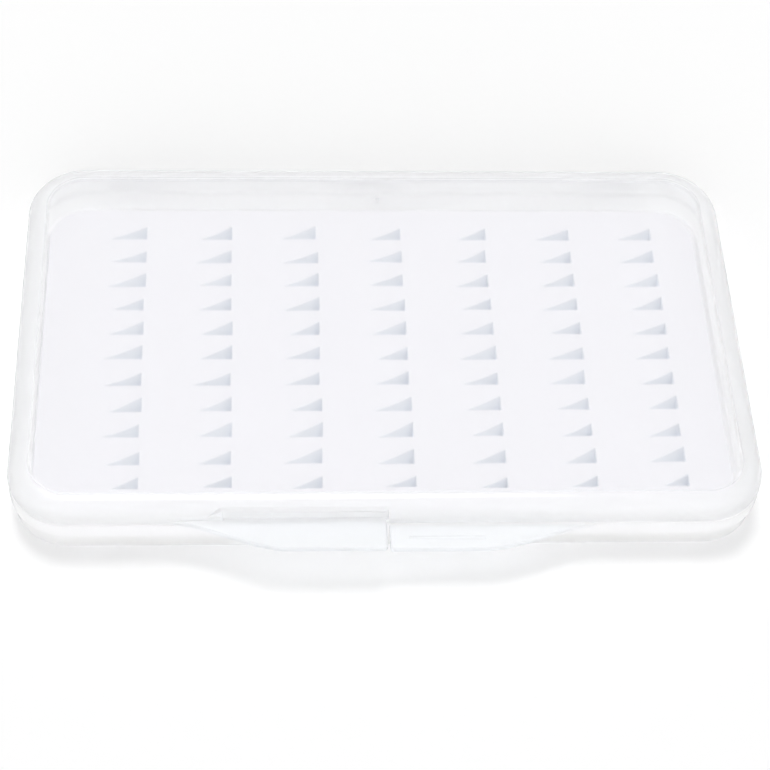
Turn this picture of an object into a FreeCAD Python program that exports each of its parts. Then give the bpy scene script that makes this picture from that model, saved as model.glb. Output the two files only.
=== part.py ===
import FreeCAD, Part
import math
import os

# Slim clear fly box, closed. Millimetres, X to the right, Y to the back, Z up.
# The origin is the middle of the flat underside.

# Closed box
BOX_WIDTH = 186.0
BOX_DEPTH = 115.0
BOX_HEIGHT = 16.5
PLAN_CORNER_R = 15.3

# Base tray
FLOOR_TOP = 1.6
BODY_INSET_LOW = 1.0
BODY_INSET_HIGH = 0.8
BODY_FOOT_BEVEL = 0.6
RIM_BOTTOM = 5.9
RIM_TOP = 10.6
RIM_UNDER_BEVEL = 0.15
RIM_EDGE_BEVEL = 0.2
TRAY_WALL = 2.8
TONGUE_INSET = 1.8
TONGUE_TOP = 12.1
TONGUE_BEVEL = 0.3
WALL_OVERLAP = 0.6

# Lid
LID_BOTTOM = 10.8
LID_WALL = 1.5
LID_TOP_THICKNESS = 1.5
LID_EDGE_R = 4.6
LID_INSIDE_R = 3.1
LID_LIP_BEVEL = 0.2

# Snap beads on the front of the tongue
BEAD_HEIGHT = 11.45
BEAD_PROUD = 0.15
BEAD_R = 0.4
BEAD_LENGTH = 16.0
BEAD_CENTRES = (-36.0, 36.0)

# Split finger tab: the left half is on the lid, the right half on the tray
TAB_SPLIT_X = -0.55
TAB_GAP = 0.8
TAB_EMBED = 1.2
TAB_CORNER_R = 0.8
TAB_BEVEL = 0.35
LID_TAB_REACH = 8.2
LID_TAB_FLAT_X = -24.0
LID_TAB_ROOT_X = -56.0
LID_TAB_TOP = 12.4
TRAY_TAB_REACH = 7.3
TRAY_TAB_FLAT_X = 22.0
TRAY_TAB_ROOT_X = 54.0
TRAY_TAB_BOTTOM = 9.0
TAB_CURVE_POINTS = 9

# Grip ridge on the tray's half of the tab
RIDGE_FROM_X = 4.5
RIDGE_TO_X = 23.0
RIDGE_FROM_RIM = 4.1
RIDGE_R = 0.6
RIDGE_PROUD = 0.25

# Squared thumb block over the lid's half of the tab
BLOCK_SET_BACK = 0.3
BLOCK_DEPTH = 4.0
BLOCK_TOP = 15.5
BLOCK_LEFT_TOP_X = -41.0
BLOCK_LEFT_FOOT_X = -47.5
BLOCK_EDGE_R = 0.4

# Fingernail groove across the front of the thumb block, deepest under its top edge
GROOVE_LEFT_X = -40.5
GROOVE_TOP = 15.05
GROOVE_DEEP_Z = 14.6
GROOVE_FOOT_DEPTH = 0.4
GROOVE_DEPTH = 1.5

# Moulding gate mark on top of the lid
GATE_X = 0.25
GATE_Y = 44.1
GATE_R = 0.9
GATE_FLOOR_R = 0.4
GATE_DEPTH = 0.25

# Hinges on one axis behind the back wall
HINGE_CENTRES = (-66.0, 0.0, 66.0)
HINGE_SET_BACK = 1.4
HINGE_AXIS_Z = 8.25
BARREL_R = 1.7
LID_KNUCKLE_WIDTH = 5.0
TRAY_KNUCKLE_WIDTH = 4.0
KNUCKLE_SIDE_GAP = 0.3
NOTCH_GAP = 0.3
KNUCKLE_EMBED = 0.6
LID_ARM_TOP = 12.05

# Hinge pins
PIN_R = 0.6
PIN_LENGTH = 13.0
TRAY_BORE_R = 0.59
LID_BORE_R = 0.66

# Slit foam insert and its adhesive sheet
INSERT_LEFT_X = -87.4
INSERT_RIGHT_X = 86.6
INSERT_FRONT_Y = -52.0
INSERT_BACK_Y = 47.6
INSERT_CORNER_R = 10.0
INSERT_TOP = 7.8
SHEET_THICKNESS = 0.25
SHEET_MARGIN = 0.8

# Pocket in the tray that keeps the insert in place, with a ledge round it
POCKET_HALF_WIDTH = 88.0
POCKET_FRONT_Y = -52.6
POCKET_BACK_Y = 48.2
POCKET_CORNER_R = 10.6
POCKET_MOUTH_BEVEL = 0.3
LEDGE_TOP = 7.2
LEDGE_FOOT_R = 1.0

# Recess under the wide back ledge, so that no part of the tray is too thick to mould
RECESS_HALF_LENGTH = 74.0
RECESS_FRONT_Y = 50.2
RECESS_BACK_Y = 54.9
RECESS_TOP = 5.4
RECESS_CORNER_R = 1.5
RECESS_TOP_R = 0.8

# Slits, counted from the back left one
SLIT_COLUMNS = 7
SLIT_ROWS = 11
SLIT_PITCH_X = 22.8
SLIT_PITCH_Y = 8.3
FIRST_SLIT_X = -61.5
FIRST_SLIT_Y = 36.95
SLIT_LENGTH = 9.6
SLIT_WIDTH = 4.5
SLIT_DEPTH = 4.2
SLIT_OVERCUT = 0.2
FRONT_ROW_BACK = 0.9
FRONT_ROW_SCALE = 0.78

HALF_WIDTH = BOX_WIDTH / 2
HALF_DEPTH = BOX_DEPTH / 2
HINGE_AXIS_Y = HALF_DEPTH + HINGE_SET_BACK
QUARTER_TURN = 90
X_AXIS = FreeCAD.Vector(1, 0, 0)
Y_AXIS = FreeCAD.Vector(0, 1, 0)
Z_AXIS = FreeCAD.Vector(0, 0, 1)
SAME_HEIGHT = 0.001


def outline(x_low, x_high, y_low, y_high, corner_r, z):
    """Closed rounded rectangle at height z."""
    corners = (
        (x_high - corner_r, y_high - corner_r),
        (x_low + corner_r, y_high - corner_r),
        (x_low + corner_r, y_low + corner_r),
        (x_high - corner_r, y_low + corner_r),
    )
    arcs = []
    for turn, (centre_x, centre_y) in enumerate(corners):
        start = turn * QUARTER_TURN
        centre = FreeCAD.Vector(centre_x, centre_y, z)
        arcs.append(Part.makeCircle(corner_r, centre, Z_AXIS, start, start + QUARTER_TURN))
    edges = []
    for turn, arc in enumerate(arcs):
        following = arcs[(turn + 1) % len(arcs)]
        edges.append(arc)
        edges.append(Part.makeLine(arc.Vertexes[-1].Point, following.Vertexes[0].Point))
    return Part.Wire(edges)


def box_outline(inset, z):
    """The box's own outline, moved inwards by inset."""
    x = HALF_WIDTH - inset
    y = HALF_DEPTH - inset
    return outline(-x, x, -y, y, PLAN_CORNER_R - inset, z)


def box_slab(inset, z_low, z_high):
    """Slab with the box's outline, moved inwards by inset."""
    return Part.Face(box_outline(inset, z_low)).extrude(Z_AXIS * (z_high - z_low))


def insert_outline(grow, z):
    """The insert's outline, moved outwards by grow."""
    return outline(
        INSERT_LEFT_X - grow,
        INSERT_RIGHT_X + grow,
        INSERT_FRONT_Y - grow,
        INSERT_BACK_Y + grow,
        INSERT_CORNER_R + grow,
        z,
    )


def insert_slab(grow, z_low, z_high):
    """Slab with the insert's outline, moved outwards by grow."""
    return Part.Face(insert_outline(grow, z_low)).extrude(Z_AXIS * (z_high - z_low))


def pocket_outline(grow, z):
    """The pocket's outline, moved outwards by grow."""
    return outline(
        -POCKET_HALF_WIDTH - grow,
        POCKET_HALF_WIDTH + grow,
        POCKET_FRONT_Y - grow,
        POCKET_BACK_Y + grow,
        POCKET_CORNER_R + grow,
        z,
    )


def edges_at(solid, z):
    """Edges that lie flat at height z."""
    return [
        edge
        for edge in solid.Edges
        if abs(edge.BoundBox.ZMin - z) < SAME_HEIGHT and abs(edge.BoundBox.ZMax - z) < SAME_HEIGHT
    ]


def rounded_at(solid, z, radius):
    """The solid with its flat edges at height z rounded."""
    return solid.makeFillet(radius, edges_at(solid, z))


def bevelled_at(solid, z, size):
    """The solid with its flat edges at height z bevelled."""
    return solid.makeChamfer(size, edges_at(solid, z))


def prism_along_x(points, x_low, x_high):
    """Solid between two X positions with a polygon of (y, z) points as its section."""
    corners = [FreeCAD.Vector(x_low, y, z) for y, z in points]
    return Part.Face(Part.makePolygon(corners + corners[:1])).extrude(X_AXIS * (x_high - x_low))


def rod_along_x(radius, x_low, x_high, y, z):
    """Round bar between two X positions."""
    return Part.makeCylinder(radius, x_high - x_low, FreeCAD.Vector(x_low, y, z), X_AXIS)


def tab_half(inner_x, flat_x, root_x, reach, z_low, z_high):
    """Half of the finger tab: flat front edge, then an S-curve back to the rim."""
    front_y = -HALF_DEPTH
    embed_y = front_y + TAB_EMBED
    samples = []
    for index in range(TAB_CURVE_POINTS):
        part = index / (TAB_CURVE_POINTS - 1)
        rise = part * part * (3 - 2 * part)
        x = flat_x + (root_x - flat_x) * part
        samples.append(FreeCAD.Vector(x, front_y - reach * (1 - rise), z_low))
    curve = Part.BSplineCurve()
    along = X_AXIS * (root_x - flat_x)
    curve.interpolate(Points=samples, InitialTangent=along, FinalTangent=along)
    inner_front = FreeCAD.Vector(inner_x, front_y - reach, z_low)
    inner_back = FreeCAD.Vector(inner_x, embed_y, z_low)
    root_back = FreeCAD.Vector(root_x, embed_y, z_low)
    edges = [
        Part.makeLine(inner_front, samples[0]),
        curve.toShape(),
        Part.makeLine(samples[-1], root_back),
        Part.makeLine(root_back, inner_back),
        Part.makeLine(inner_back, inner_front),
    ]
    plate = Part.Face(Part.Wire(edges)).extrude(Z_AXIS * (z_high - z_low))
    corner = [
        edge
        for edge in plate.Edges
        if abs(edge.BoundBox.XLength) < SAME_HEIGHT
        and abs(edge.BoundBox.YLength) < SAME_HEIGHT
        and abs(edge.Vertexes[0].X - inner_x) < SAME_HEIGHT
        and abs(edge.Vertexes[0].Y - inner_front.y) < SAME_HEIGHT
    ]
    plate = plate.makeFillet(TAB_CORNER_R, corner)
    front_edges = [
        edge
        for edge in edges_at(plate, z_low) + edges_at(plate, z_high)
        if edge.BoundBox.YMin < front_y - reach / 2 and edge.BoundBox.YMax < front_y + SAME_HEIGHT
    ]
    return plate.makeChamfer(TAB_BEVEL, front_edges)


def thumb_block():
    """Squared part of the lid's front edge, with its left end curving down to the lid's lip."""
    y = -HALF_DEPTH + BLOCK_SET_BACK
    right_x = TAB_SPLIT_X - TAB_GAP / 2
    foot = FreeCAD.Vector(BLOCK_LEFT_FOOT_X, y, LID_BOTTOM)
    top_left = FreeCAD.Vector(BLOCK_LEFT_TOP_X, y, BLOCK_TOP)
    middle_x = (BLOCK_LEFT_FOOT_X + 2 * BLOCK_LEFT_TOP_X) / 3
    middle = FreeCAD.Vector(middle_x, y, (LID_BOTTOM + 2 * BLOCK_TOP) / 3 + BLOCK_EDGE_R)
    top_right = FreeCAD.Vector(right_x, y, BLOCK_TOP)
    foot_right = FreeCAD.Vector(right_x, y, LID_BOTTOM)
    edges = [
        Part.Arc(foot, middle, top_left).toShape(),
        Part.makeLine(top_left, top_right),
        Part.makeLine(top_right, foot_right),
        Part.makeLine(foot_right, foot),
    ]
    block = Part.Face(Part.Wire(edges)).extrude(Y_AXIS * BLOCK_DEPTH)
    top_edges = edges_at(block, BLOCK_TOP)
    front_top = [edge for edge in top_edges if abs(edge.BoundBox.YMax - y) < SAME_HEIGHT]
    return block.makeFillet(BLOCK_EDGE_R, front_top)


def nail_groove():
    """Cutter for the groove that a fingernail lifts the lid by."""
    front_y = -HALF_DEPTH + BLOCK_SET_BACK
    deep_y = front_y + GROOVE_DEPTH
    section = (
        (front_y - BLOCK_DEPTH, LID_TAB_TOP),
        (front_y + GROOVE_FOOT_DEPTH, LID_TAB_TOP),
        (deep_y, GROOVE_DEEP_Z),
        (front_y, GROOVE_TOP),
        (front_y - BLOCK_DEPTH, GROOVE_TOP),
    )
    return prism_along_x(section, GROOVE_LEFT_X, TAB_SPLIT_X)


def gate_mark():
    """Cutter for the shallow dimple that the mould's gate leaves."""
    foot = FreeCAD.Vector(GATE_X, GATE_Y, BOX_HEIGHT - GATE_DEPTH)
    return Part.makeCone(GATE_FLOOR_R, GATE_R, GATE_DEPTH, foot, Z_AXIS)


def snap_bead(centre_x):
    """Short bead on the tongue's front face."""
    y = -HALF_DEPTH + TONGUE_INSET + BEAD_R - BEAD_PROUD
    return rod_along_x(BEAD_R, centre_x - BEAD_LENGTH / 2, centre_x + BEAD_LENGTH / 2, y, BEAD_HEIGHT)


def lid_knuckle(centre_x):
    """Barrel and sloping arm that hang from the lid's back edge."""
    x_low = centre_x - LID_KNUCKLE_WIDTH / 2
    x_high = centre_x + LID_KNUCKLE_WIDTH / 2
    inner_y = HINGE_AXIS_Y - BARREL_R
    tangent = BARREL_R * math.cos(math.radians(QUARTER_TURN / 2))
    arm = prism_along_x(
        (
            (inner_y, HINGE_AXIS_Z),
            (inner_y, LID_ARM_TOP),
            (HALF_DEPTH - LID_LIP_BEVEL, LID_ARM_TOP),
            (HINGE_AXIS_Y + tangent, HINGE_AXIS_Z + tangent),
            (HINGE_AXIS_Y, HINGE_AXIS_Z),
        ),
        x_low,
        x_high,
    )
    return arm.fuse(rod_along_x(BARREL_R, x_low, x_high, HINGE_AXIS_Y, HINGE_AXIS_Z))


def tray_knuckles(centre_x):
    """Two barrels on short blocks, one each side of the lid's knuckle."""
    inner = LID_KNUCKLE_WIDTH / 2 + KNUCKLE_SIDE_GAP
    knuckles = []
    for x_low in (centre_x - inner - TRAY_KNUCKLE_WIDTH, centre_x + inner):
        x_high = x_low + TRAY_KNUCKLE_WIDTH
        block = prism_along_x(
            (
                (HALF_DEPTH - KNUCKLE_EMBED, HINGE_AXIS_Z - BARREL_R),
                (HINGE_AXIS_Y, HINGE_AXIS_Z - BARREL_R),
                (HINGE_AXIS_Y, HINGE_AXIS_Z + BARREL_R),
                (HALF_DEPTH - KNUCKLE_EMBED, HINGE_AXIS_Z + BARREL_R),
            ),
            x_low,
            x_high,
        )
        knuckles.append(block.fuse(rod_along_x(BARREL_R, x_low, x_high, HINGE_AXIS_Y, HINGE_AXIS_Z)))
    return knuckles


def hinge_bore(radius, centre_x):
    """Cutter for the pin's hole through one hinge."""
    return rod_along_x(radius, centre_x - PIN_LENGTH, centre_x + PIN_LENGTH, HINGE_AXIS_Y, HINGE_AXIS_Z)


def knuckle_notch(centre_x):
    """Cutter that lets the lid's knuckle into the tray's rim."""
    half = LID_KNUCKLE_WIDTH / 2 + KNUCKLE_SIDE_GAP
    low_y = HINGE_AXIS_Y - BARREL_R - NOTCH_GAP
    return Part.makeBox(
        2 * half,
        HINGE_AXIS_Y - low_y,
        RIM_TOP - RIM_BOTTOM + WALL_OVERLAP * 2,
        FreeCAD.Vector(centre_x - half, low_y, RIM_BOTTOM - WALL_OVERLAP),
    )


def insert_pocket():
    """Cutter for the foam insert's pocket, bevelled at its mouth."""
    pocket = Part.Face(pocket_outline(0, FLOOR_TOP)).extrude(Z_AXIS * (LEDGE_TOP - FLOOR_TOP))
    mouth = [
        pocket_outline(0, LEDGE_TOP - POCKET_MOUTH_BEVEL),
        pocket_outline(2 * POCKET_MOUTH_BEVEL, LEDGE_TOP + POCKET_MOUTH_BEVEL),
    ]
    return pocket.fuse(Part.makeLoft(mouth, True, True))


def back_recess():
    """Cutter for the recess under the back ledge."""
    low_z = -WALL_OVERLAP
    edge = outline(
        -RECESS_HALF_LENGTH, RECESS_HALF_LENGTH, RECESS_FRONT_Y, RECESS_BACK_Y, RECESS_CORNER_R, low_z
    )
    recess = Part.Face(edge).extrude(Z_AXIS * (RECESS_TOP - low_z))
    return rounded_at(recess, RECESS_TOP, RECESS_TOP_R)


def make_base_tray():
    """Tray with a foam pocket, a proud rim, a tongue, hinge knuckles and half of the tab."""
    foot = box_outline(BODY_INSET_LOW, 0)
    shoulder = box_outline(BODY_INSET_HIGH, RIM_BOTTOM + WALL_OVERLAP)
    body = bevelled_at(Part.makeLoft([foot, shoulder], True, True), 0, BODY_FOOT_BEVEL)
    rim = bevelled_at(box_slab(0, RIM_BOTTOM, RIM_TOP), RIM_BOTTOM, RIM_UNDER_BEVEL)
    rim = bevelled_at(rim, RIM_TOP, RIM_EDGE_BEVEL)
    tongue = box_slab(TONGUE_INSET, RIM_TOP - WALL_OVERLAP, TONGUE_TOP)
    tongue = bevelled_at(tongue, TONGUE_TOP, TONGUE_BEVEL)
    hollow = rounded_at(box_slab(TRAY_WALL, LEDGE_TOP, BOX_HEIGHT), LEDGE_TOP, LEDGE_FOOT_R)
    tray = body.fuse([rim, tongue]).cut([hollow, insert_pocket(), back_recess()])
    for centre_x in BEAD_CENTRES:
        tray = tray.fuse(snap_bead(centre_x))
    tab = tab_half(
        TAB_SPLIT_X + TAB_GAP / 2,
        TRAY_TAB_FLAT_X,
        TRAY_TAB_ROOT_X,
        TRAY_TAB_REACH,
        TRAY_TAB_BOTTOM,
        RIM_TOP,
    )
    ridge = rod_along_x(
        RIDGE_R, RIDGE_FROM_X, RIDGE_TO_X, -HALF_DEPTH - RIDGE_FROM_RIM, RIM_TOP + RIDGE_PROUD - RIDGE_R
    )
    tray = tray.fuse([tab, ridge])
    for centre_x in HINGE_CENTRES:
        tray = tray.cut(knuckle_notch(centre_x))
    for centre_x in HINGE_CENTRES:
        tray = tray.fuse(tray_knuckles(centre_x)).cut(hinge_bore(TRAY_BORE_R, centre_x))
    return tray.removeSplitter()


def make_lid():
    """Shallow cover with a generous round edge, thumb block, half of the tab and hinge knuckles."""
    cover = rounded_at(box_slab(0, LID_BOTTOM, BOX_HEIGHT), BOX_HEIGHT, LID_EDGE_R)
    cover = bevelled_at(cover, LID_BOTTOM, LID_LIP_BEVEL)
    cover = cover.fuse(thumb_block()).cut([nail_groove(), gate_mark()])
    hollow = box_slab(LID_WALL, LID_BOTTOM - WALL_OVERLAP, BOX_HEIGHT - LID_TOP_THICKNESS)
    hollow = rounded_at(hollow, BOX_HEIGHT - LID_TOP_THICKNESS, LID_INSIDE_R)
    tab = tab_half(
        TAB_SPLIT_X - TAB_GAP / 2,
        LID_TAB_FLAT_X,
        LID_TAB_ROOT_X,
        LID_TAB_REACH,
        LID_BOTTOM,
        LID_TAB_TOP,
    )
    lid = cover.fuse(tab).cut(hollow)
    for centre_x in HINGE_CENTRES:
        lid = lid.fuse(lid_knuckle(centre_x)).cut(hinge_bore(LID_BORE_R, centre_x))
    return lid.removeSplitter()


def slit_cutter(right_x, baseline_y, size):
    """Wedge with a triangular mouth: tip to the left, deepest at its right end."""
    top = INSERT_TOP + SLIT_OVERCUT
    grow = size * (SLIT_DEPTH + SLIT_OVERCUT) / SLIT_DEPTH
    tip = FreeCAD.Vector(right_x - SLIT_LENGTH * grow, baseline_y, top)
    front = FreeCAD.Vector(right_x, baseline_y, top)
    back = FreeCAD.Vector(right_x, baseline_y + SLIT_WIDTH * grow, top)
    deep = FreeCAD.Vector(right_x, baseline_y + SLIT_WIDTH * size / 2, INSERT_TOP - SLIT_DEPTH)
    faces = []
    for corners in ((tip, front, back), (tip, front, deep), (front, back, deep), (tip, back, deep)):
        faces.append(Part.Face(Part.makePolygon(list(corners) + [corners[0]])))
    return Part.Solid(Part.Shell(faces))


def make_slit_foam_insert():
    """Foam mat with a grid of wedge-mouthed slits, the front row's smaller and a little further back."""
    mat = insert_slab(0, FLOOR_TOP + SHEET_THICKNESS, INSERT_TOP)
    cutters = []
    for column in range(SLIT_COLUMNS):
        x = FIRST_SLIT_X + column * SLIT_PITCH_X
        for row in range(SLIT_ROWS - 1):
            cutters.append(slit_cutter(x, FIRST_SLIT_Y - row * SLIT_PITCH_Y, 1.0))
        front_row_y = FIRST_SLIT_Y - (SLIT_ROWS - 1) * SLIT_PITCH_Y + FRONT_ROW_BACK
        cutters.append(slit_cutter(x, front_row_y, FRONT_ROW_SCALE))
    return mat.cut(Part.makeCompound(cutters))


def make_adhesive_sheet():
    """Thin double-sided sheet that holds the foam on the floor."""
    return insert_slab(-SHEET_MARGIN, FLOOR_TOP, FLOOR_TOP + SHEET_THICKNESS)


def make_hinge_pin(centre_x):
    """Plain steel pin, cut from wire."""
    half = PIN_LENGTH / 2
    return rod_along_x(PIN_R, centre_x - half, centre_x + half, HINGE_AXIS_Y, HINGE_AXIS_Z)


def main():
    os.makedirs("parts", exist_ok=True)
    left_x, middle_x, right_x = HINGE_CENTRES
    nodes = {
        "base_tray": make_base_tray(),
        "lid": make_lid(),
        "slit_foam_insert": make_slit_foam_insert(),
        "insert_adhesive_sheet": make_adhesive_sheet(),
        "hinge_pin_left": make_hinge_pin(left_x),
        "hinge_pin_centre": make_hinge_pin(middle_x),
        "hinge_pin_right": make_hinge_pin(right_x),
    }
    for name, shape in nodes.items():
        shape.exportStep(f"parts/{name}.step")


main()
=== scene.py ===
import math
import random

import bmesh
import bpy
from mathutils import Matrix, Vector


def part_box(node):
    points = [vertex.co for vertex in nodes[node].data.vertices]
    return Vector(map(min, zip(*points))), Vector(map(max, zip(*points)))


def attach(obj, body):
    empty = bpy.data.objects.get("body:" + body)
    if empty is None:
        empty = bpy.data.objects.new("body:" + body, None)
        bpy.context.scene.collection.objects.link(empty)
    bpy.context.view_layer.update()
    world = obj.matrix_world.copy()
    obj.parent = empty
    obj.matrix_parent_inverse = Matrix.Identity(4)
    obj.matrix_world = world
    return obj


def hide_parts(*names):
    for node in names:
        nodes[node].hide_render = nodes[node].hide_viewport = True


# Slim clear fly box, dressed. The frame's own metres, X to the right, Y to the back, Z up.
# Sizes below are in millimetres unless a comment says otherwise, and are turned into metres
# where they are used. Texture scales are per metre, and angles are in degrees.
MM = 0.001
WHITE = (1.0, 1.0, 1.0)

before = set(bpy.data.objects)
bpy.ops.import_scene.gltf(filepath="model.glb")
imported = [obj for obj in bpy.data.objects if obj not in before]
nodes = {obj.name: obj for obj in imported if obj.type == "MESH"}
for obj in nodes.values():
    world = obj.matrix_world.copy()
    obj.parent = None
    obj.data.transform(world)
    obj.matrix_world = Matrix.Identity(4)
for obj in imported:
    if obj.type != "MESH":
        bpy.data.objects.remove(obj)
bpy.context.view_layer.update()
STEEL_PINS = ("hinge_pin_left", "hinge_pin_centre", "hinge_pin_right")

# The photograph's camera
PHOTO_PIXELS = 770
FOCAL_PIXELS = 2164.6
CAMERA_AT = (-32.85, -354.79, 443.36)
CAMERA_PITCH = 51.70
CAMERA_YAW = 5.58
CAMERA_ROLL = 4.255
SENSOR = 36.0
CLIP_START = 10.0
CLIP_END = 20000.0

# Slit foam mat
mat_low, mat_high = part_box("slit_foam_insert")
MAT_CORNER_R = 10.0
MAT_EDGE_R = 0.4
CORNER_STEPS = 12

# Distance of a quarter circle's middle from the sides of its corner, as a share of the radius
ARC_MIDDLE = 0.3

# Slits, counted from the back left one. Each is a wedge with its tip to the left, and a SPREAD
# is the range of a random factor.
SLIT_COLUMNS = 7
SLIT_ROWS = 11
SLIT_PITCH_X = 22.8
SLIT_PITCH_Y = 8.3
FIRST_SLIT_X = -61.5
FIRST_SLIT_Y = 36.95
SLIT_SHIFT_X = 0.3
SLIT_SHIFT_Y = 0.2
SLIT_LENGTH = 9.6
SLIT_LENGTH_SPREAD = (0.84, 1.06)
SLIT_WIDTH = 4.5
SLIT_WIDTH_SPREAD = (0.88, 1.08)
SLIT_DEPTH = 4.2
SLIT_DEPTH_SPREAD = (0.9, 1.1)
SLIT_DEPTH_POWER = 1.2
SLIT_TILT = 1.5
SLIT_BOW_SPREAD = (0.10, 0.45)
SLIT_STEPS = 8
FRONT_ROW_BACK = 0.9
FRONT_ROW_SCALE = 0.78
SLIT_SEED = 11

# Adhesive sheet, pressed this far into the tray floor, so that no film of air shows between them
SHEET_PRESS = 0.05
sheet_low, sheet_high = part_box("insert_adhesive_sheet")
SHEET_CORNER_R = 9.2

# Moulded plastic. CLEAR is the share of light that a skin lets through, and the rest is scattered
# as if by a milky body. INSET is how far in from the box's outline a change starts and ends.
PLASTIC_IOR = 1.49
COAT_WEIGHT = 0.5
COAT_ROUGH = 0.06
FLOW_WAVE_SCALE = 14.0
FLOW_WAVE_DETAIL = 1.0
FLOW_WAVE_STRENGTH = 0.005
FLOW_WAVE_DEPTH = 0.6
MARK_SCALE = 420.0
MARK_DETAIL = 6.0
MARK_GRAIN = 0.7
MARK_ROUGH = 0.04

# Painted shade: a surface seen edge-on is painted grey. The tab in front of the box is a little greyer and
# bluer
EDGE_ON_SHADE_TINT = (0.70, 0.71, 0.74)
EDGE_ON_SHADE_FACING = (0.78, 1.0)
TAB_TINT = (0.955, 0.968, 0.982)
TAB_FADE_Y = (-58.4, -57.4)

# Outline of the box without its tab and hinges
LID_HALF_DEPTH = 57.5
LID_CORNER_R = 15.3

# The lid's flat panel is clear, and its thick rounded edge, thumb block and tab are milkier
LID_TINT = (0.991, 0.994, 1.0)
LID_PANEL_CLEAR = 0.94
LID_EDGE_CLEAR = 0.67
LID_PANEL_ROUGH = 0.12
LID_EDGE_ROUGH = 0.45
LID_PANEL_INSET = (3.8, 6.2)

# The tray's foot is clearer than its rim and its ledge inside the wall
TRAY_TINT = (0.996, 0.996, 1.0)
TRAY_FOOT_CLEAR = 0.80
TRAY_RIM_CLEAR = 0.62
TRAY_ROUGH = 0.42
TRAY_FOOT_Z = (3.0, 6.4)
TRAY_WALL_INSET = (2.2, 3.2)

# Foam: pairs of colours between which it is mottled, for the skin and for the cut inside of a slit. The
# cut's pair is darker and bluer, painted shade of the slit's recess
FOAM_CELL_SCALE = 2400.0
SKIN_COLOURS = ((0.972, 0.960, 0.99), (0.985, 0.976, 0.998))
CUT_SHADE_COLOURS = ((0.855, 0.872, 0.905), (0.915, 0.93, 0.955))

# Steel wire and adhesive film
STEEL_COLOURS = ((0.55, 0.55, 0.56), (0.70, 0.70, 0.71))
STEEL_ROUGH = (0.2, 0.42)
STEEL_SCRATCH_SCALE = 9000.0
STEEL_SCRATCH_STRETCH = (0.05, 1, 1)
FILM_COLOURS = ((0.90, 0.90, 0.88), (0.95, 0.95, 0.94))
FILM_SCALE = 500.0

# Table top, which lies just under the box
TABLE_HALF = 3000.0
TABLE_DROP = 0.02

# Light: the sky's level, the level that the fill adds in front, and a soft lamp for the shadow
SKY = 0.575
FILL_ADDED = 1.75
FILL_DIRECTION = (-0.1, -1.0, -0.1)
FILL_EDGE = (0.45, 0.95)
LAMP_POWER = 0.97
LAMP_DIRECTION = (-0.05, 0.36, 1.0)
LAMP_ANGLE = 22.0


def new_material(name):
    """Empty node material, its tree and its output node."""
    material = bpy.data.materials.new(name)
    material.use_nodes = True
    tree = material.node_tree
    tree.nodes.clear()
    return material, tree, tree.nodes.new("ShaderNodeOutputMaterial")


def add(tree, kind, **values):
    """New node, with its input sockets set by name."""
    node = tree.nodes.new(kind)
    for name, value in values.items():
        node.inputs[name.replace("_", " ")].default_value = value
    return node


def feed(tree, socket, source):
    """Gives an input socket a link, a colour or a plain value."""
    if isinstance(source, bpy.types.NodeSocket):
        tree.links.new(source, socket)
    elif isinstance(source, tuple) and socket.type == "RGBA":
        socket.default_value = (*source, 1)
    else:
        socket.default_value = source


def object_place(tree, stretch=(1, 1, 1)):
    """The object's own coordinates, stretched."""
    place = tree.nodes.new("ShaderNodeTexCoord")
    mapping = add(tree, "ShaderNodeMapping", Scale=stretch)
    tree.links.new(place.outputs["Object"], mapping.inputs["Vector"])
    return mapping.outputs["Vector"]


def object_axis(tree, axis):
    """One of the object's own coordinates."""
    place = tree.nodes.new("ShaderNodeSeparateXYZ")
    tree.links.new(object_place(tree), place.inputs["Vector"])
    return place.outputs[axis]


def grain(tree, scale, detail, rough=0.5, stretch=(1, 1, 1)):
    """Noise from 0 to 1 in the object's own coordinates."""
    texture = add(tree, "ShaderNodeTexNoise", Scale=scale, Detail=detail, Roughness=rough)
    tree.links.new(object_place(tree, stretch), texture.inputs["Vector"])
    return texture.outputs["Fac"]


def remap(tree, source, low, high, from_low=0.0, from_high=1.0, smooth=False):
    """The source, mapped to a new range and held inside it."""
    mapped = add(tree, "ShaderNodeMapRange", From_Min=from_low, From_Max=from_high, To_Min=low, To_Max=high)
    if smooth:
        mapped.interpolation_type = "SMOOTHSTEP"
    tree.links.new(source, mapped.inputs["Value"])
    return mapped.outputs["Result"]


def number_step(tree, operation, first, second):
    """One step of arithmetic on two values or links."""
    step = tree.nodes.new("ShaderNodeMath")
    step.operation = operation
    feed(tree, step.inputs[0], first)
    feed(tree, step.inputs[1], second)
    return step.outputs["Value"]


def vector_step(tree, operation, first, second=(0, 0, 0)):
    """One step of vector arithmetic."""
    step = tree.nodes.new("ShaderNodeVectorMath")
    step.operation = operation
    step.inputs[1].default_value = second
    tree.links.new(first, step.inputs[0])
    return step.outputs["Value" if operation in ("LENGTH", "DOT_PRODUCT") else "Vector"]


def mixed_colour(tree, share, first, second):
    """Mix of two colours, with the stated share of the second."""
    mix = tree.nodes.new("ShaderNodeMix")
    mix.data_type = "RGBA"
    feed(tree, mix.inputs["A"], first)
    feed(tree, mix.inputs["B"], second)
    tree.links.new(share, mix.inputs["Factor"])
    return mix.outputs["Result"]


def bumped(tree, shader, height, strength, depth):
    """Gives the shader a bump from a height."""
    bump = add(tree, "ShaderNodeBump", Strength=strength, Distance=depth * MM)
    tree.links.new(height, bump.inputs["Height"])
    tree.links.new(bump.outputs["Normal"], shader.inputs["Normal"])


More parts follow.
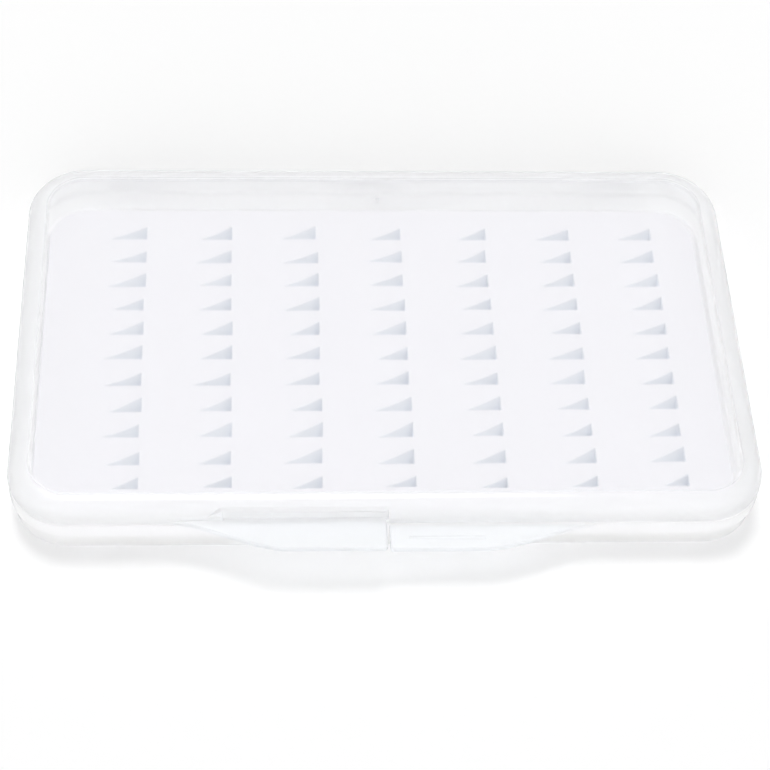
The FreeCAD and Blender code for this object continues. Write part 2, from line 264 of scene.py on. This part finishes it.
def inside_outline(tree, inset):
    """0 at the box's outline and 1 further in. It changes between the two distances of inset."""
    _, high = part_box("lid")
    corner_middle = (high.x - LID_CORNER_R * MM, (LID_HALF_DEPTH - LID_CORNER_R) * MM, 0)
    past = vector_step(tree, "ABSOLUTE", object_place(tree))
    past = vector_step(tree, "SUBTRACT", past, corner_middle)
    past = vector_step(tree, "MAXIMUM", past, (0, 0, 0))
    past = vector_step(tree, "MULTIPLY", past, (1, 1, 0))
    outer, inner = [(LID_CORNER_R - distance) * MM for distance in inset]
    return remap(tree, vector_step(tree, "LENGTH", past), 1.0, 0.0, inner, outer)


def marked(tree, rough):
    """The roughness with faint handling marks."""
    marks = grain(tree, MARK_SCALE, MARK_DETAIL, MARK_GRAIN)
    return number_step(tree, "ADD", rough, remap(tree, marks, -MARK_ROUGH, MARK_ROUGH))


def moulded_plastic(name, tint):
    """Clear moulded plastic with faint flow waves, a greyer and bluer tab, and painted shade that turns it
    grey where seen edge-on.
    """
    material, tree, output = new_material(name)
    shader = add(tree, "ShaderNodeBsdfPrincipled", IOR=PLASTIC_IOR, Coat_Weight=COAT_WEIGHT)
    shader.inputs["Coat Roughness"].default_value = COAT_ROUGH
    tab, box = [y * MM for y in TAB_FADE_Y]
    behind_tab = remap(tree, object_axis(tree, "Y"), 0.0, 1.0, tab, box)
    body = mixed_colour(tree, behind_tab, TAB_TINT, tint)
    # Painted shade: the colour turns grey where the surface is seen edge-on
    facing = add(tree, "ShaderNodeLayerWeight", Blend=0.5).outputs["Facing"]
    outline = remap(tree, facing, 0.0, 1.0, *EDGE_ON_SHADE_FACING)
    tree.links.new(mixed_colour(tree, outline, body, EDGE_ON_SHADE_TINT), shader.inputs["Base Color"])
    waves = grain(tree, FLOW_WAVE_SCALE, FLOW_WAVE_DETAIL)
    bumped(tree, shader, waves, FLOW_WAVE_STRENGTH, FLOW_WAVE_DEPTH)
    tree.links.new(shader.outputs["BSDF"], output.inputs["Surface"])
    return material, tree, shader


def lid_plastic():
    """The lid's plastic, clear on its panel and milkier in its edge, thumb block and tab."""
    material, tree, shader = moulded_plastic("lid_clear_plastic", LID_TINT)
    panel = inside_outline(tree, LID_PANEL_INSET)
    clear = remap(tree, panel, LID_EDGE_CLEAR, LID_PANEL_CLEAR)
    tree.links.new(clear, shader.inputs["Transmission Weight"])
    rough = remap(tree, panel, LID_EDGE_ROUGH, LID_PANEL_ROUGH)
    tree.links.new(marked(tree, rough), shader.inputs["Roughness"])
    return material


def tray_plastic():
    """The tray's plastic, clearer in the foot of its outer wall than in its rim and ledge."""
    material, tree, shader = moulded_plastic("tray_clear_plastic", TRAY_TINT)
    foot, rim = [z * MM for z in TRAY_FOOT_Z]
    above_foot = remap(tree, object_axis(tree, "Z"), 0.0, 1.0, foot, rim)
    milky = number_step(tree, "MAXIMUM", above_foot, inside_outline(tree, TRAY_WALL_INSET))
    clear = remap(tree, milky, TRAY_FOOT_CLEAR, TRAY_RIM_CLEAR)
    tree.links.new(clear, shader.inputs["Transmission Weight"])
    tree.links.new(marked(tree, TRAY_ROUGH), shader.inputs["Roughness"])
    return material


def foam_shader(tree, output, mottling, colours, cell_strength, cell_depth):
    """Foam with tiny cells and a little mottling."""
    shader = tree.nodes.new("ShaderNodeBsdfPrincipled")
    tree.links.new(mixed_colour(tree, mottling, *colours), shader.inputs["Base Color"])
    cells = add(tree, "ShaderNodeTexVoronoi", Scale=FOAM_CELL_SCALE)
    tree.links.new(object_place(tree), cells.inputs["Vector"])
    bumped(tree, shader, cells.outputs["Distance"], cell_strength, cell_depth)
    tree.links.new(shader.outputs["BSDF"], output.inputs["Surface"])
    return shader


def foam_skin_material():
    """White closed-cell foam with a smooth skin."""
    material, tree, output = new_material("slit_foam")
    mottling = grain(tree, scale=45.0, detail=5.0)
    shader = foam_shader(tree, output, mottling, SKIN_COLOURS, cell_strength=0.05, cell_depth=0.08)
    shader.inputs["Roughness"].default_value = 0.8
    shader.inputs["Specular IOR Level"].default_value = 0.2
    return material


def cut_foam_shade_material():
    """Cut inside of a slit: open cells, painted greyer and bluer than the skin as shade of the recess."""
    material, tree, output = new_material("cut_foam")
    mottling = grain(tree, scale=300.0, detail=4.0)
    # Painted shade: the slit's walls are coloured darker and bluer than the skin
    shader = foam_shader(tree, output, mottling, CUT_SHADE_COLOURS, cell_strength=0.5, cell_depth=0.1)
    shader.inputs["Roughness"].default_value = 0.9
    shader.inputs["Specular IOR Level"].default_value = 0.1
    return material


def steel_material():
    """Drawn steel wire with fine scratches along it."""
    material, tree, output = new_material("pin_steel")
    shader = add(tree, "ShaderNodeBsdfPrincipled", Metallic=1.0)
    scratches = grain(tree, STEEL_SCRATCH_SCALE, detail=3.0, stretch=STEEL_SCRATCH_STRETCH)
    tree.links.new(mixed_colour(tree, scratches, *STEEL_COLOURS), shader.inputs["Base Color"])
    tree.links.new(remap(tree, scratches, *STEEL_ROUGH), shader.inputs["Roughness"])
    bumped(tree, shader, scratches, strength=0.1, depth=0.02)
    tree.links.new(shader.outputs["BSDF"], output.inputs["Surface"])
    return material


def adhesive_material():
    """Matt white double-sided film."""
    material, tree, output = new_material("adhesive_film")
    shader = add(tree, "ShaderNodeBsdfPrincipled", Roughness=0.6)
    film = grain(tree, FILM_SCALE, detail=4.0)
    tree.links.new(mixed_colour(tree, film, *FILM_COLOURS), shader.inputs["Base Color"])
    bumped(tree, shader, film, strength=0.15, depth=0.03)
    tree.links.new(shader.outputs["BSDF"], output.inputs["Surface"])
    return material


def give(obj, material):
    """Puts the material in every slot of the object."""
    if not obj.data.materials:
        obj.data.materials.append(material)
    for place in obj.material_slots:
        place.material = material


def link_object(name, data):
    """New object in the scene."""
    obj = bpy.data.objects.new(name, data)
    bpy.context.scene.collection.objects.link(obj)
    return obj


def finished_object(name, mesh):
    """New object in the scene from a bmesh, which is freed."""
    data = bpy.data.meshes.new(name)
    mesh.to_mesh(data)
    mesh.free()
    return link_object(name, data)


def rounded_outline(low, high, radius):
    """Points of a rounded rectangle, anticlockwise."""
    points = []
    corners = ((high.x, high.y, 0), (low.x, high.y, 1), (low.x, low.y, 2), (high.x, low.y, 3))
    for x, y, turn in corners:
        middle_x = x + radius * (-1 if turn in (0, 3) else 1)
        middle_y = y + radius * (-1 if turn in (0, 1) else 1)
        for step in range(CORNER_STEPS + 1):
            angle = math.radians(90 * (turn + step / CORNER_STEPS))
            points.append((middle_x + radius * math.cos(angle), middle_y + radius * math.sin(angle)))
    return points


def outline_ring(mesh, low, high, radius, z):
    """Ring of vertices on a rounded rectangle."""
    return [mesh.verts.new((x, y, z)) for x, y in rounded_outline(low, high, radius)]


def bridge(mesh, lower, upper):
    """Wall of faces between two rings."""
    for index in range(len(lower)):
        after = (index + 1) % len(lower)
        mesh.faces.new((lower[index], lower[after], upper[after], upper[index]))


def ring_edges(mesh, ring):
    """Edges round a ring of vertices, made where they don't exist yet."""
    pairs = zip(ring, ring[1:] + ring[:1])
    return [mesh.edges.get(pair) or mesh.edges.new(pair) for pair in pairs]


def slit_lines(chance, column, row, top):
    """One slit's baseline, sloping edge and deep edge, each from its tip to its right end."""
    front_row = row == SLIT_ROWS - 1
    size = FRONT_ROW_SCALE if front_row else 1.0
    right = FIRST_SLIT_X + column * SLIT_PITCH_X + chance.uniform(-SLIT_SHIFT_X, SLIT_SHIFT_X)
    baseline = FIRST_SLIT_Y - row * SLIT_PITCH_Y + chance.uniform(-SLIT_SHIFT_Y, SLIT_SHIFT_Y)
    if front_row:
        baseline += FRONT_ROW_BACK
    length = size * SLIT_LENGTH * chance.uniform(*SLIT_LENGTH_SPREAD)
    width = size * SLIT_WIDTH * chance.uniform(*SLIT_WIDTH_SPREAD)
    depth = SLIT_DEPTH * chance.uniform(*SLIT_DEPTH_SPREAD)
    tilt = math.radians(chance.uniform(-SLIT_TILT, SLIT_TILT))
    bow = chance.uniform(*SLIT_BOW_SPREAD)
    base, slope, deep = [], [], []
    for step in range(SLIT_STEPS + 1):
        part = step / SLIT_STEPS
        along = (part - 1) * length
        rise = width * (part - bow * part * (1 - part))
        drop = depth * part ** SLIT_DEPTH_POWER
        x = right + along * math.cos(tilt)
        y = baseline + along * math.sin(tilt)
        base.append(Vector((x * MM, y * MM, top)))
        slope.append(Vector((x * MM, (y + rise) * MM, top)))
        deep.append(Vector((x * MM, (y + rise / 2) * MM, top - drop * MM)))
    return base, slope, deep


def cut_slit(mesh, lines):
    """Walls of one slit, in the second material, and the edges round its mouth."""
    base_line, slope_line, deep_line = lines
    base = [mesh.verts.new(point) for point in base_line]
    slope = base[:1] + [mesh.verts.new(point) for point in slope_line[1:]]
    deep = base[:1] + [mesh.verts.new(point) for point in deep_line[1:]]
    for first, second in ((slope, deep), (deep, base)):
        for step in range(SLIT_STEPS):
            corners = [first[step], first[step + 1], second[step + 1], second[step]]
            if step == 0:
                corners = corners[:3]
            mesh.faces.new(corners).material_index = 1
    mesh.faces.new((slope[-1], base[-1], deep[-1])).material_index = 1
    return ring_edges(mesh, base + slope[:0:-1])


def make_adhesive_sheet():
    """Thin film that is stuck to the tray floor all over."""
    mesh = bmesh.new()
    radius = SHEET_CORNER_R * MM
    bottom = outline_ring(mesh, sheet_low, sheet_high, radius, sheet_low.z - SHEET_PRESS * MM)
    top = outline_ring(mesh, sheet_low, sheet_high, radius, sheet_high.z)
    bridge(mesh, bottom, top)
    mesh.faces.new(bottom[::-1])
    mesh.faces.new(top)
    sheet = finished_object("adhesive_film_sheet", mesh)
    give(sheet, adhesive_material())
    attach(sheet, "tray")
    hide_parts("insert_adhesive_sheet")


def make_foam_mat():
    """Foam mat with a softened top edge and 77 cut slits, each a little different."""
    chance = random.Random(SLIT_SEED)
    mesh = bmesh.new()
    top = mat_high.z
    edge = MAT_EDGE_R * MM
    radius = MAT_CORNER_R * MM
    rings = []
    bend = edge * ARC_MIDDLE
    for inset, z in ((0, mat_low.z), (0, top - edge), (bend, top - bend), (edge, top)):
        shift = Vector((inset, inset, 0))
        rings.append(outline_ring(mesh, mat_low + shift, mat_high - shift, radius - inset, z))
    for lower, upper in zip(rings, rings[1:]):
        bridge(mesh, lower, upper)
    mesh.faces.new(rings[0][::-1])
    top_edges = ring_edges(mesh, rings[-1])
    for column in range(SLIT_COLUMNS):
        for row in range(SLIT_ROWS):
            top_edges += cut_slit(mesh, slit_lines(chance, column, row, top))
    bmesh.ops.triangle_fill(mesh, edges=top_edges, use_beauty=True, normal=(0, 0, 1))
    bmesh.ops.recalc_face_normals(mesh, faces=mesh.faces)
    mat = finished_object("slit_foam_mat", mesh)
    mat.data.materials.append(foam_skin_material())
    mat.data.materials.append(cut_foam_shade_material())
    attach(mat, "tray")
    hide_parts("slit_foam_insert")


def shown_white(tree, surface, white, output, rays):
    """Gives the output the surface, but the plain white one for rays of the named kinds."""
    path = tree.nodes.new("ShaderNodeLightPath")
    seen = path.outputs[rays[0]]
    for ray in rays[1:]:
        seen = number_step(tree, "MAXIMUM", seen, path.outputs[ray])
    mix = tree.nodes.new("ShaderNodeMixShader")
    tree.links.new(seen, mix.inputs["Fac"])
    tree.links.new(surface, mix.inputs[1])
    tree.links.new(white, mix.inputs[2])
    tree.links.new(mix.outputs["Shader"], output.inputs["Surface"])


def make_stage():
    """White table top. Gloss and clear plastic show it plain white, without the box's shadow."""
    mesh = bpy.data.meshes.new("table_top")
    half = TABLE_HALF * MM
    height = -TABLE_DROP * MM
    corners = [(-half, -half, height), (half, -half, height), (half, half, height), (-half, half, height)]
    mesh.from_pydata(corners, [], [(0, 1, 2, 3)])
    top = link_object("table_top", mesh)
    material, tree, output = new_material("table_white")
    matt = add(tree, "ShaderNodeBsdfDiffuse", Color=(*WHITE, 1))
    white = add(tree, "ShaderNodeEmission", Strength=1.0)
    rays = ("Is Glossy Ray", "Is Transmission Ray")
    shown_white(tree, matt.outputs["BSDF"], white.outputs["Emission"], output, rays)
    material.cycles.emission_sampling = "NONE"
    mesh.materials.append(material)


def make_world():
    """Soft surround with a fill in front. The camera, gloss and clear plastic show it plain white."""
    world = bpy.data.worlds.new("soft_surround")
    bpy.context.scene.world = world
    world.use_nodes = True
    world.cycles.sampling_method = "NONE"
    tree = world.node_tree
    tree.nodes.clear()
    output = tree.nodes.new("ShaderNodeOutputWorld")
    place = tree.nodes.new("ShaderNodeTexCoord").outputs["Generated"]
    toward = vector_step(tree, "DOT_PRODUCT", place, Vector(FILL_DIRECTION).normalized())
    light = add(tree, "ShaderNodeBackground", Color=(*WHITE, 1))
    fill = remap(tree, toward, SKY, SKY + FILL_ADDED, *FILL_EDGE, smooth=True)
    tree.links.new(fill, light.inputs["Strength"])
    white = add(tree, "ShaderNodeBackground", Color=(*WHITE, 1), Strength=1.0)
    rays = ("Is Camera Ray", "Is Glossy Ray", "Is Transmission Ray")
    shown_white(tree, light.outputs["Background"], white.outputs["Background"], output, rays)


def make_lamp():
    """Large soft lamp above and a little behind, which casts the shadow."""
    data = bpy.data.lights.new("soft_lamp", "SUN")
    data.energy = LAMP_POWER
    data.angle = math.radians(LAMP_ANGLE)
    lamp = link_object("soft_lamp", data)
    lamp.rotation_euler = Vector(LAMP_DIRECTION).to_track_quat("Z", "Y").to_euler()
    lamp.location = Vector(LAMP_DIRECTION)
    lamp.visible_transmission = False


def make_camera():
    """Camera where the photograph was taken from."""
    data = bpy.data.cameras.new("photo_camera")
    camera = link_object("photo_camera", data)
    data.sensor_width = SENSOR
    data.lens = FOCAL_PIXELS * SENSOR / PHOTO_PIXELS
    data.clip_start = CLIP_START * MM
    data.clip_end = CLIP_END * MM
    yaw = Matrix.Rotation(-math.radians(CAMERA_YAW), 4, "Z")
    pitch = Matrix.Rotation(math.radians(90 - CAMERA_PITCH), 4, "X")
    roll = Matrix.Rotation(math.radians(CAMERA_ROLL), 4, "Z")
    camera.matrix_world = Matrix.Translation(Vector(CAMERA_AT) * MM) @ yaw @ pitch @ roll
    bpy.context.scene.camera = camera


def set_light_paths():
    """Enough bounces for light that is trapped in the milky edges."""
    cycles = bpy.context.scene.cycles
    cycles.max_bounces = 32
    cycles.glossy_bounces = 24
    cycles.transmission_bounces = 32
    cycles.diffuse_bounces = 16
    cycles.blur_glossy = 0.0


give(nodes["lid"], lid_plastic())
give(nodes["base_tray"], tray_plastic())
steel = steel_material()
for name in STEEL_PINS:
    give(nodes[name], steel)
make_adhesive_sheet()
make_foam_mat()
make_stage()
make_world()
make_lamp()
make_camera()
set_light_paths()
bpy.context.scene.view_settings.view_transform = "Standard"
